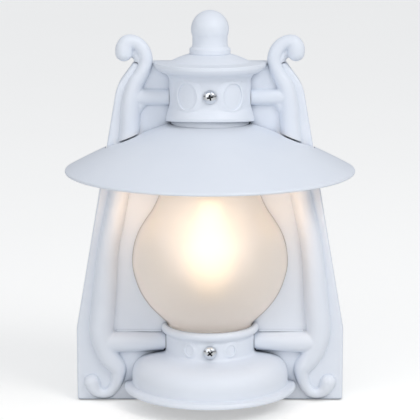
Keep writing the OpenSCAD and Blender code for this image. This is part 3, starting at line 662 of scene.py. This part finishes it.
def raisedRings(name, shellRadius, height, ringRadius, narrowing, bead, angle, body):
    # bead: its cross-section as (outwards from the ring's middle line, height over the shell)
    points = softCorners(bead)
    count = len(points)
    piece = newObject(name, [(u * mm, -h * mm, 0) for u, h in points], [(i, (i + 1) % count) for i in range(count)], [])
    bakeTree(piece, ringOnShell, {
        "Axis Y": axisY * mm, "Shell Radius": shellRadius * mm, "Height": height * mm, "Ring Radius": ringRadius * mm,
        "Narrowing": narrowing, "Angle": math.radians(angle), "Finish": powderCoat})
    tidyMesh(piece)
    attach(piece, body)


# ---- hood: domed cap with a rim, coved collar with a flared edge

hoodSize = {
    "flareRadius": 32.9, "waistRadius": 30.2, "edgeZ": 74.6, "tilt": 0.111, "capRadius": 41.2, "capZ": 116.2,
    "sheet": 1.6, "backGap": 0.3, "screwZ": 96.3, "screwHole": 2.8, "studHole": 3.2,
    "ringAngle": 34.0, "ringZ": 95.9, "ringRadius": 10.7, "ringNarrowing": 0.86,
    "ringBead": [(-1.4, -0.7), (-1.25, 0.75, 0.25), (-0.7, 1.05, 0.6), (0.4, 0.95, 1.0), (2.2, 0.36, 2.0), (4.4, -0.04, 2.0), (5.0, -0.7)],
}


def makeHood(s=hoodSize):
    waist, cap, capZ, sheet = s["waistRadius"], s["capRadius"], s["capZ"], s["sheet"]
    outer = [(s["flareRadius"], s["edgeZ"], 0.6), (s["flareRadius"], 76.8, 0.8)]
    outer += arcPoints((waist + 12, 88), 12, 204, 180, 12)
    outer += arcPoints((waist + 7, 104.6), 7, 178, 96, 16)
    outer += [(38.6, 112.7, 1.0), (40.2, 114.2, 1.0), (cap, capZ - 0.2, 0.5), (cap, capZ + 2.4, 0.9), (31, capZ + 2.7, 2.0), (28.8, capZ + 3.2, 1.4)]
    outer += arcPoints((0, 64.4), 62.2, 64.4, 90, 14)
    inner = arcPoints((0, 64.4), 62.2 - sheet, 90, 65, 14)
    inner += [(cap - 2.6, capZ + 0.9, 0.5), (cap - 3.2, 114.6, 1.0), (waist + 6.8, 113.2, 0.8)]
    inner += arcPoints((waist + 7, 104.6), 8.6, 98, 180, 16)
    inner += arcPoints((waist + 12, 88), 12 + sheet, 180, 202, 10)
    inner += [(s["flareRadius"] - sheet, 76.4, 0.6), (s["flareRadius"] - sheet, s["edgeZ"], 0.4)]
    outline = softCorners(outer + inner)
    piece = halfRoundPiece("hoodShell", outline, faceY - s["backGap"], powderCoat)
    for vertex in piece.data.vertices:  # the lower edge rises towards the front
        x, y, z = vertex.co / mm
        share = min(max((88 - z) / (88 - 77.5), 0), 1)
        vertex.co.z = (z + s["tilt"] * (axisY - y) * share * share * (3 - 2 * share)) * mm
    carve(piece, [rod("screwHole", (0, axisY - 45, s["screwZ"]), (0, axisY - 20, s["screwZ"]), s["screwHole"], s["screwHole"]),
                  rod("studHole", (0, axisY, 110), (0, axisY, 140), s["studHole"], s["studHole"])])
    tidyMesh(piece)
    settle(piece, "hood", "hood_paint", "hood")
    raisedRings("hoodRings", waist, s["ringZ"], s["ringRadius"], s["ringNarrowing"], s["ringBead"], s["ringAngle"], "hood")


makeHood()


# ---- finial: turned ball on a stepped foot

finialSize = {"ballRadius": 14.0, "topZ": 156.9, "footZ": 124.65, "footRadius": 15.2, "neckRadius": 13.0, "stud": 3.0, "studZ": 117.75}


def makeFinial(s=finialSize):
    foot, ballZ = s["footZ"], s["topZ"] - s["ballRadius"]
    outline = [(0, s["studZ"]), (s["stud"], s["studZ"], 0.4), (s["stud"], foot, 0.1), (15.0, foot - 0.1), (s["footRadius"], foot + 0.6, 0.4),
               (s["footRadius"], foot + 3.9, 0.9), (14.1, foot + 4.9, 0.7), (13.3, foot + 5.6, 0.7), (s["neckRadius"], foot + 7.6, 1.4)]
    outline += arcPoints((0, ballZ), s["ballRadius"], -22, 90, 26)
    piece = turnedPiece("finialKnob", softCorners(outline, closed=False), axisY, powderCoat, 112)
    tidyMesh(piece)
    settle(piece, "hood", "hood_paint", "finial")


makeFinial()


# ---- shade: spun cone, steeper towards its rolled rim, notched round the plate and the arms

shadeSize = {
    "rimRadius": 108.0, "rimZ": 38.9, "neckRadius": 29.0, "neckZ": 73.4, "crownZ": 79.3, "sheet": 1.2, "slope": 0.326,
    "bead": 1.3, "groove": 0.7, "hole": 5.2, "plateGap": 0.8, "wallGap": 1.5, "armGap": 9.9,
}


def makeShade(s=shadeSize):
    run = s["rimRadius"] - s["neckRadius"]
    bend = (s["neckZ"] - s["rimZ"] - s["slope"] * run) / run ** 2
    lean = 90 - math.degrees(math.atan(s["slope"] + 2 * bend * run))
    rimR = s["rimRadius"] - s["bead"] * (1 - math.cos(math.radians(lean)))

    def coneZ(r):
        return s["neckZ"] - s["slope"] * (r - s["neckRadius"]) - bend * (r - s["neckRadius"]) ** 2

    cone = [(s["neckRadius"] + (rimR - s["neckRadius"]) * i / 36,) for i in range(37)]
    cone = [(r[0], coneZ(r[0])) for r in cone]
    tip = (rimR - s["bead"] * math.cos(math.radians(lean)), coneZ(rimR) - s["bead"] * math.sin(math.radians(lean)))
    neck, bottom = s["neckRadius"], s["neckZ"] - s["groove"]
    outline = [(s["hole"], s["crownZ"]), (neck, s["crownZ"], 1.4), (neck, bottom, 0.1), (neck + 0.5, bottom, 0.1), (neck + 0.6, s["neckZ"] - 0.1, 0.2)]
    outline += cone[1:]
    outline += arcPoints(tip, s["bead"], lean - 8, -200, 18)
    outline += [(r - 0.35, z - s["sheet"]) for r, z in cone[-3:0:-1]]
    outline += [(s["neckRadius"] - s["sheet"], s["neckZ"] - s["sheet"], 0.6), (s["neckRadius"] - s["sheet"], s["crownZ"] - s["sheet"], 0.6),
                (s["hole"], s["crownZ"] - s["sheet"])]
    piece = turnedPiece("shadeCone", softCorners(outline), axisY, powderCoat, 240, closed=True)
    tidyMesh(piece)
    behindPlate = prism("plateNotch", plateOutline(-s["plateGap"]), faceY - 0.3, 5)
    wall = prism("wallSide", [(-150, 0), (150, 0), (150, 120), (-150, 120)], -s["wallGap"], 140)
    arms = [rod("armNotch", (side * 58.5, faceY, 73), (side * 68.6, faceY, 17), s["armGap"], s["armGap"] + 0.4, 40) for side in (-1, 1)]
    nipple = rod("nippleHole", (0, lampY, 70), (0, lampY, 90), s["hole"], s["hole"], 40)
    carve(piece, [behindPlate, wall, nipple] + arms)
    tidyMesh(piece)
    settle(piece, "fixture", "shade_paint", "shade")


makeShade()


# ---- glass: pear-shaped half bowl

glassSize = {
    "outline": [(34.6, 42), (34.8, 33), (35.8, 25.5), (38.6, 17), (43.0, 8), (48.2, 0.4), (53.4, -8.4), (56.9, -18), (58.4, -28),
                (58.2, -36), (56.5, -43.5), (53.5, -52), (49.7, -59), (44.8, -65.6), (38.8, -71.8), (34.7, -75.6), (32.4, -78.4),
                (31.4, -81.5), (31.2, -86)],
    "wall": 3.0, "backGap": 1.0, "steps": 5,
}


def makeGlass(s=glassSize):
    outer = throughPoints(s["outline"], s["steps"])
    inner = []
    for i, (r, z) in enumerate(outer):
        a, b = outer[max(i - 1, 0)], outer[min(i + 1, len(outer) - 1)]
        along = Vector((b[0] - a[0], b[1] - a[1])).normalized()
        inner.append((r + along.y * s["wall"], z - along.x * s["wall"]))
    outline = outer + [(r, max(min(z, 42), -86)) for r, z in inner[::-1]]
    piece = halfRoundPiece("glassBowl", outline, faceY - s["backGap"], frostedGlass)
    settle(piece, "gallery", "frosted_glass", "globe")


makeGlass()


# ---- base: gallery ring, neck with rings, rounded body and lip

baseSize = {
    "galleryRadius": 36.6, "neckRadius": 33.4, "bodyRadius": 59.0, "lipRadius": 65.0, "bottomZ": -129.2, "backGap": 0.3,
    "screwZ": -93.9, "screwHole": 2.8, "ringAngle": 27.6, "ringZ": -93.4, "ringRadius": 4.6, "ringNarrowing": 0.9,
    "ringBead": [(-0.9, -0.6), (-0.8, 0.45, 0.15), (-0.4, 0.7, 0.3), (0.3, 0.6, 0.5), (1.1, 0.22, 0.8), (2.3, -0.03, 0.8), (2.6, -0.6)],
}


def makeBase(s=baseSize):
    neck, body, lip, bottom = s["neckRadius"], s["bodyRadius"], s["lipRadius"], s["bottomZ"]
    outer = [(26.6, -89.5, 0.4), (26.6, -87.9, 0.4), (31.8, -87.9, 0.3), (31.8, -80.4, 0.6), (32.4, -79.3, 0.4)]
    outer += arcPoints((s["galleryRadius"] - 3.3, -82.5), 3.3, 94, -52, 16)
    outer += [(neck + 0.2, -86.5, 0.8), (neck - 0.3, -88, 1.0), (neck, -89.6, 1.2), (neck, -101, 3.0), (39, -102, 6.0), (45.4, -103.2, 5.0)]
    outer += arcPoints((body - 15.5, -118.9), 15.5, 78, 0, 22)
    outer += [(body, -124.6, 0.7), (lip - 1.0, -125.4, 1.2), (lip, -127.2, 1.2), (lip, bottom, 1.0)]
    inner = [(body - 1.6, bottom, 0.3), (body - 1.6, -118.9)]
    inner += arcPoints((body - 15.5, -118.9), 13.9, 2, 76, 18)
    inner += [(39, -103.6, 3.0), (neck - 1.6, -103.1, 2.0), (neck - 1.6, -89.5, 0.4)]
    piece = halfRoundPiece("galleryBase", softCorners(outer + inner), faceY - s["backGap"], powderCoat, steps=128)
    carve(piece, [rod("screwHole", (0, axisY - 45, s["screwZ"]), (0, axisY - 20, s["screwZ"]), s["screwHole"], s["screwHole"])])
    tidyMesh(piece)
    settle(piece, "gallery", "base_paint", "base_shell")
    raisedRings("baseRings", neck, s["ringZ"], s["ringRadius"], s["ringNarrowing"], s["ringBead"], s["ringAngle"], "gallery")


makeBase()


# ---- cross-recess pan-head screws, threaded behind the head

screwSize = {"headRadius": 5.0, "headHeight": 3.6, "shank": 2.5, "shankLength": 14.0, "recess": 5.4, "slot": 1.15, "recessDepth": 2.2, "pitch": 0.8}


def threadTree():
    tree, given = startTree("threadedShank", {
        "Profile": "geometry", "Radius": "number", "Pitch": "number", "Turns": "number", "Ridge": "number", "Finish": "material"})
    maths = "ShaderNodeMath"
    rise = addNode(tree, maths, {0: given["Pitch"], 1: given["Turns"]}, operation="MULTIPLY")
    spiral = addNode(tree, "GeometryNodeCurveSpiral", {
        "Resolution": 28, "Rotations": given["Turns"], "Start Radius": given["Radius"], "End Radius": given["Radius"], "Height": rise.outputs[0]})
    upright = addNode(tree, "GeometryNodeSetCurveNormal", {"Curve": spiral.outputs[0]}, mode="Z_UP")
    ridge = addNode(tree, "GeometryNodeCurvePrimitiveCircle", {"Resolution": 8, "Radius": given["Ridge"]})
    thread = addNode(tree, "GeometryNodeCurveToMesh", {"Curve": upright.outputs[0], "Profile Curve": ridge.outputs[0], "Fill Caps": True})
    both = addNode(tree, "GeometryNodeJoinGeometry")
    tree.links.new(thread.outputs[0], both.inputs[0])
    tree.links.new(given["Profile"], both.inputs[0])
    endTree(tree, both.outputs[0], given["Finish"])
    return tree


threadedShank = threadTree()


def makePanScrew(name, z, seatY, turn, body, slot, node, s=screwSize):
    head, high, shank, long = s["headRadius"], s["headHeight"], s["shank"] - 0.25, s["shankLength"]
    outline = [(0, -long), (shank - 0.6, -long, 0.1), (shank, -long + 0.7, 0.1), (shank, -0.02), (head - 0.3, 0, 0.2), (head, 0.3, 0.2)]
    outline += [(head, 1.3, 0.9), (head - 1.5, 2.9, 1.4), (head - 3.2, high - 0.1, 1.2), (0, high)]
    piece = turnedPiece(name, softCorners(outline, closed=False), 0, chrome, 56)
    tidyMesh(piece)
    for quarter in (0, 90):  # tapered arms of the cross recess
        a = math.radians(quarter + turn)
        reach, wide, deep = s["recess"] / 2, s["slot"] / 2, high - s["recessDepth"]
        top = [(-reach - 0.5, -wide - 0.1), (reach + 0.5, -wide - 0.1), (reach + 0.5, wide + 0.1), (-reach - 0.5, wide + 0.1)]
        low = [(-1.1, -wide + 0.15), (1.1, -wide + 0.15), (1.1, wide - 0.15), (-1.1, wide - 0.15)]
        corners = [(x, y, high + 1.2) for x, y in top] + [(x, y, deep) for x, y in low]
        points = [((x * math.cos(a) - y * math.sin(a)) * mm, (x * math.sin(a) + y * math.cos(a)) * mm, h * mm) for x, y, h in corners]
        faces = [[0, 1, 2, 3], [7, 6, 5, 4]] + [[k, k + 4, (k + 1) % 4 + 4, (k + 1) % 4] for k in range(4)]
        carve(piece, [tidyMesh(newObject("recess", points, [], faces))])
    piece.data.transform(Matrix.Translation((0, 0, (long - 1.0) * mm)))  # the thread's spiral starts at zero
    bakeTree(piece, threadedShank, {
        "Radius": shank * mm, "Pitch": s["pitch"] * mm, "Turns": (long - 3) / s["pitch"], "Ridge": 0.26 * mm, "Finish": chrome})
    piece.data.transform(Matrix.Translation((0, seatY * mm, z * mm)) @ Matrix.Rotation(math.radians(90), 4, "X") @ Matrix.Translation((0, 0, -(long - 1.0) * mm)))
    tidyMesh(piece, 32)
    settle(piece, body, slot, node)


makePanScrew("hoodScrew", 96.3, axisY - 30.25, 12, "hood_screw", "chromed_screw", "upper_screw")
makePanScrew("baseScrew", -93.9, axisY - 33.45, 40, "gallery_screw", "chromed_screw", "lower_screw")


# ---- candle lamp with its small screw cap

lampSize = {"radius": 17.0, "length": 74.0, "topZ": 18.6, "capRadius": 6.55, "thread": 0.35, "pitch": 3.4}


def makeLamp(s=lampSize):
    outline = [(0, s["topZ"] - s["length"])]
    for i in range(1, 60):
        t = (i / 60) ** 1.6 if i < 20 else (20 / 60) ** 1.6 + (0.9 - (20 / 60) ** 1.6) * (i - 20) / 39
        radius = s["radius"] * math.sin(math.pi * t ** 0.72) ** 0.62
        outline.append((max(radius, 8.0 if t > 0.5 else 0), s["topZ"] - s["length"] * (1 - t)))
    outline += [(8.0, s["topZ"] - 0.02), (0, s["topZ"])]
    piece = turnedPiece("lampGlass", outline, lampY, lampGlow, 64)
    tidyMesh(piece)
    settle(piece, "lamp", "opal_glass", "bulb_glass")
    low, cap = s["topZ"], s["capRadius"]
    shell = [(0, low), (8.2, low, 0.4), (8.2, low + 1.9, 0.8), (cap, low + 2.6, 0.5), (cap, low + 20.2, 1.0), (4.6, low + 22.6, 0.6), (0, low + 22.7)]
    capPiece = turnedPiece("lampCap", softCorners(shell, closed=False), 0, capMetal, 56)
    capPiece.data.transform(Matrix.Translation((0, 0, -(low + 4) * mm)))
    bakeTree(capPiece, threadedShank, {
        "Radius": (cap - 0.45) * mm, "Pitch": s["pitch"] * mm, "Turns": 4.4, "Ridge": 0.8 * mm, "Finish": capMetal})
    capPiece.data.transform(Matrix.Translation((0, lampY * mm, (low + 4) * mm)))
    tidyMesh(capPiece)
    settle(capPiece, "lamp", "cap_metal", "bulb_cap")


makeLamp()


# ---- floor, lamps and camera

studio = {
    "floorZ": -141.2, "floorColour": "E9E9E7", "paleLift": 0.36, "backColour": "F4F4F3",
    "camera": (0, -1420.2, 271.6), "target": (0, -20, 7), "lens": 162.9,
    "keyPower": 15, "fillPower": 6.8, "skyLevel": 0.585, "glowPower": 0.019, "glowColour": "FFD3A0",
}


def makeStudio(s=studio):
    scene = bpy.context.scene
    z = s["floorZ"] * mm
    material, tree, shader, place = startMaterial("paintedStudioFloor", {"Roughness": 0.7})
    addMottle(tree, shader, place, 300, s["floorColour"], "E6E6E4")
    seen = addNode(tree, "ShaderNodeLightPath").outputs["Is Camera Ray"]
    pale = addNode(tree, "ShaderNodeMath", {0: seen, 1: s["paleLift"]}, operation="MULTIPLY")
    shader.inputs["Emission Color"].default_value = toLinear("FFFFFF")
    tree.links.new(pale.outputs[0], shader.inputs["Emission Strength"])
    floor = newObject("studioFloor", [(-6, -6, z), (6, -6, z), (6, 6, z), (-6, 6, z)], [], [[0, 1, 2, 3]], material)
    for name, spot, size, power in (("keyLamp", (1.1, -1.2, 1.35), 0.9, s["keyPower"]), ("fillLamp", (-0.8, -1.5, 0.65), 1.4, s["fillPower"])):
        light = bpy.data.lights.new(name, "AREA")
        light.size = size
        light.energy = power
        lampObject = bpy.data.objects.new(name, light)
        lampObject.location = spot
        lampObject.rotation_euler = (Vector((0, -0.03, 0)) - Vector(spot)).to_track_quat("-Z", "Y").to_euler()
        scene.collection.objects.link(lampObject)
    for side in (-1, 1):  # the lamp's warm light on the plate and the arms
        light = bpy.data.lights.new("lampSide", "POINT")
        light.energy = s["glowPower"]
        light.color = toLinear(s["glowColour"])[:3]
        light.shadow_soft_size = 8 * mm
        lampObject = bpy.data.objects.new("lampSide", light)
        lampObject.location = (side * 54 * mm, -52 * mm, 8 * mm)
        lampObject.visible_camera = lampObject.visible_transmission = lampObject.visible_glossy = False
        scene.collection.objects.link(lampObject)
    world = bpy.data.worlds.new("studioAir")
    scene.world = world
    world.use_nodes = True
    tree = world.node_tree
    tree.nodes.clear()
    rays = addNode(tree, "ShaderNodeLightPath")
    seen = addNode(tree, "ShaderNodeMath", {0: rays.outputs["Is Camera Ray"], 1: rays.outputs["Is Transmission Ray"]}, operation="MAXIMUM")
    sky = addNode(tree, "ShaderNodeBackground", {"Color": toLinear("F2F4F8"), "Strength": s["skyLevel"]})
    paper = addNode(tree, "ShaderNodeBackground", {"Color": toLinear(s["backColour"]), "Strength": 1.0})
    way = addNode(tree, "ShaderNodeSeparateXYZ", {"Vector": addNode(tree, "ShaderNodeTexCoord").outputs["Generated"]})
    room = addNode(tree, "ShaderNodeMapRange", {"Value": way.outputs["Z"], "From Min": -0.05, "From Max": 0.55, "To Min": 0.08, "To Max": 1.0})
    mirrored = addNode(tree, "ShaderNodeBackground", {"Color": toLinear("F2F4F8"), "Strength": room.outputs[0]})  # the dark end of the studio
    around = addNode(tree, "ShaderNodeMixShader", {0: rays.outputs["Is Glossy Ray"], 1: sky.outputs[0], 2: mirrored.outputs[0]})
    mixed = addNode(tree, "ShaderNodeMixShader", {0: seen.outputs[0], 1: around.outputs[0], 2: paper.outputs[0]})
    addNode(tree, "ShaderNodeOutputWorld", {"Surface": mixed.outputs[0]})
    lens = bpy.data.cameras.new("camera")
    lens.lens = s["lens"]
    lens.sensor_width = 36
    lens.clip_end = 50
    camera = bpy.data.objects.new("camera", lens)
    camera.location = Vector(s["camera"]) * mm
    camera.rotation_euler = (Vector(s["target"]) * mm - camera.location).to_track_quat("-Z", "Y").to_euler()
    scene.collection.objects.link(camera)
    scene.camera = camera
    scene.view_settings.view_transform = "Standard"


makeStudio()
